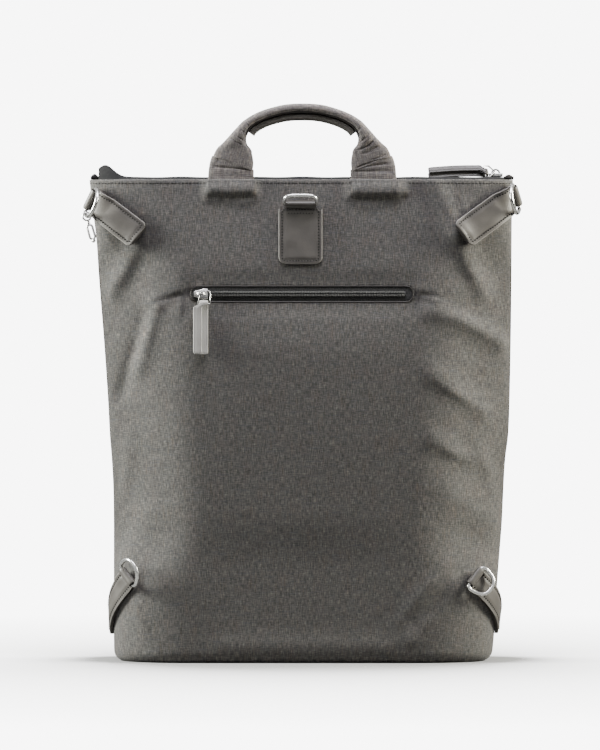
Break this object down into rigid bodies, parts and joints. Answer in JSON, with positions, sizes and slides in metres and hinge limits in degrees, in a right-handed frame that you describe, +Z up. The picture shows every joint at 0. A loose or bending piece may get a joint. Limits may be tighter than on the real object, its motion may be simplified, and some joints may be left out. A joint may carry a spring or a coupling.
{
  "type": "convertible backpack",
  "caption": "Flat upright convertible backpack and tote body with a padded grab handle, a zip top, a zipped back pocket and leather tabs whose rings take straps.",
  "frame": {"origin": "middle of the flat base, on the surface that the bag stands on", "axes": "+Z up, -Y towards the pictured back face with the zipped pocket, +X to the right as that face is seen"},
  "size_m": [0.3838, 0.1183, 0.4856],
  "materials": {
    "fabric": "grey melange woven polyester, matt",
    "handle_fabric": "the same grey melange cloth, creased where it is folded",
    "grip_strip": "dark grey lining cloth, matt",
    "zip_tape": "black woven tape, matt",
    "zip_teeth": "black nylon coil",
    "leather": "warm grey smooth leather, satin",
    "pale_leather": "light grey smooth leather, satin",
    "metal": "bright nickel plate"
  },
  "bodies": {
    "bag": {"back_panel": "fabric", "front_panel": "fabric", "gusset_left": "fabric", "gusset_right": "fabric", "base_panel": "fabric", "top_band_back": "zip_tape", "top_band_front": "zip_tape", "top_teeth": "zip_teeth", "zip_end_left": "fabric", "zip_end_right": "fabric", "grab_handle": "handle_fabric", "grip_strip": "grip_strip", "pocket_tape": "zip_tape", "pocket_teeth": "zip_teeth", "pocket_slider": "metal", "pocket_link": "metal", "pocket_pull": "pale_leather", "top_slider": "metal", "top_pull": "leather", "top_link": "metal", "tab_center": "leather", "tab_top_left": "leather", "tab_top_right": "leather", "tab_bottom_left": "leather", "tab_bottom_right": "leather"},
    "ring_center": {"ring_center": "metal"},
    "ring_top_left": {"ring_top_left": "metal", "ring_drop": "metal"},
    "ring_top_right": {"ring_top_right": "metal"},
    "ring_bottom_left": {"ring_bottom_left": "metal"},
    "ring_bottom_right": {"ring_bottom_right": "metal"}
  },
  "joints": [
    {"name": "ring_center_turn", "type": "hinge", "parent": "bag", "child": "ring_center", "pos_m": [-0.0005, -0.04516, 0.3975], "axis": [1, 0, 0], "range_deg": [-45, 105]},
    {"name": "ring_top_left_turn", "type": "hinge", "parent": "bag", "child": "ring_top_left", "pos_m": [-0.18303, -0.02848, 0.4025], "axis": [0.4029, -0.4617, 0.7903], "range_deg": [-120, 6]},
    {"name": "ring_top_right_turn", "type": "hinge", "parent": "bag", "child": "ring_top_right", "pos_m": [0.1871, -0.02425, 0.406], "axis": [0.2255, 0.5461, -0.8068], "range_deg": [-125, 6]},
    {"name": "ring_bottom_left_turn", "type": "hinge", "parent": "bag", "child": "ring_bottom_left", "pos_m": [-0.15094, -0.0436, 0.0745], "axis": [0.5375, -0.4451, -0.7162], "range_deg": [-18, 130]},
    {"name": "ring_bottom_right_turn", "type": "hinge", "parent": "bag", "child": "ring_bottom_right", "pos_m": [0.15127, -0.04755, 0.0745], "axis": [0.5728, 0.3603, 0.7362], "range_deg": [-125, 6]}
  ]
}
